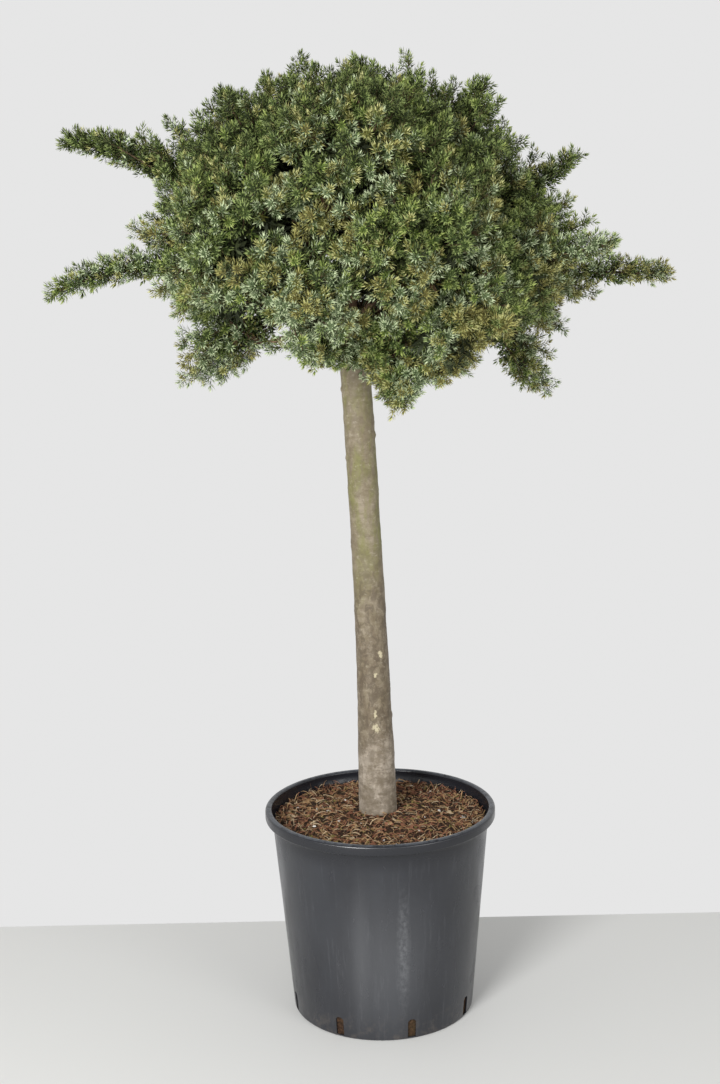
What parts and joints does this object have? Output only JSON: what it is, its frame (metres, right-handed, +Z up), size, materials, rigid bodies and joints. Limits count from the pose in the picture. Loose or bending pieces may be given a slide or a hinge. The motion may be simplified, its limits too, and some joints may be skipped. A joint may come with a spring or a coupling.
{
  "type": "standard juniper in a pot",
  "caption": "Juniper grafted high on a bare, slightly leaning stem, with a dense umbrella-shaped head and long side shoots, in a round black nursery pot.",
  "frame": {"origin": "centre of the pot's flat underside, on the ground", "axes": "+Z up along the pot's axis, -Y to the front of the plant, +X to the plant's right as seen from the front"},
  "size_m": [0.8097, 0.5758, 1.2813],
  "materials": {
    "pot_plastic": "satin blue-black, lightly scuffed",
    "potting_soil": "rough coir fibre and bark chips, red-brown",
    "trunk_bark": "thin grey-brown bark with an olive tint and paler peeled patches",
    "bough_bark": "thin red-brown bark",
    "juniper_foliage": "short awl-shaped needles, mid green to grey blue-green"
  },
  "bodies": {
    "root": {"pot": "pot_plastic", "soil": "potting_soil", "trunk": "trunk_bark", "bough_top_middle": "bough_bark", "bough_top_left": "bough_bark", "bough_top_front": "bough_bark", "bough_top_right": "bough_bark", "bough_top_back": "bough_bark", "bough_left_upper": "bough_bark", "bough_front_left": "bough_bark", "bough_front_right": "bough_bark", "bough_right_upper": "bough_bark", "bough_right_middle": "bough_bark", "bough_back_right": "bough_bark", "bough_back_left": "bough_bark", "bough_left_lower": "bough_bark", "bough_left_inner": "bough_bark", "bough_right_inner": "bough_bark", "bough_right_long": "bough_bark", "bough_right_back": "bough_bark", "bough_back": "bough_bark", "bough_left_back": "bough_bark", "bough_skirt_left": "bough_bark", "bough_skirt_front_left": "bough_bark", "bough_skirt_front": "bough_bark", "bough_skirt_front_right": "bough_bark", "bough_skirt_right": "bough_bark", "bough_skirt_back_right": "bough_bark", "bough_skirt_back_left": "bough_bark", "foliage_top_middle": "juniper_foliage", "foliage_top_left": "juniper_foliage", "foliage_top_front": "juniper_foliage", "foliage_top_right": "juniper_foliage", "foliage_top_back": "juniper_foliage", "foliage_left_upper": "juniper_foliage", "foliage_front_left": "juniper_foliage", "foliage_front_right": "juniper_foliage", "foliage_right_upper": "juniper_foliage", "foliage_right_middle": "juniper_foliage", "foliage_back_right": "juniper_foliage", "foliage_back_left": "juniper_foliage", "foliage_left_lower": "juniper_foliage", "foliage_left_inner": "juniper_foliage", "foliage_right_inner": "juniper_foliage", "foliage_right_long": "juniper_foliage", "foliage_right_back": "juniper_foliage", "foliage_back": "juniper_foliage", "foliage_left_back": "juniper_foliage", "foliage_skirt_left": "juniper_foliage", "foliage_skirt_front_left": "juniper_foliage", "foliage_skirt_front": "juniper_foliage", "foliage_skirt_front_right": "juniper_foliage", "foliage_skirt_right": "juniper_foliage", "foliage_skirt_back_right": "juniper_foliage", "foliage_skirt_back_left": "juniper_foliage"}
  },
  "joints": []
}
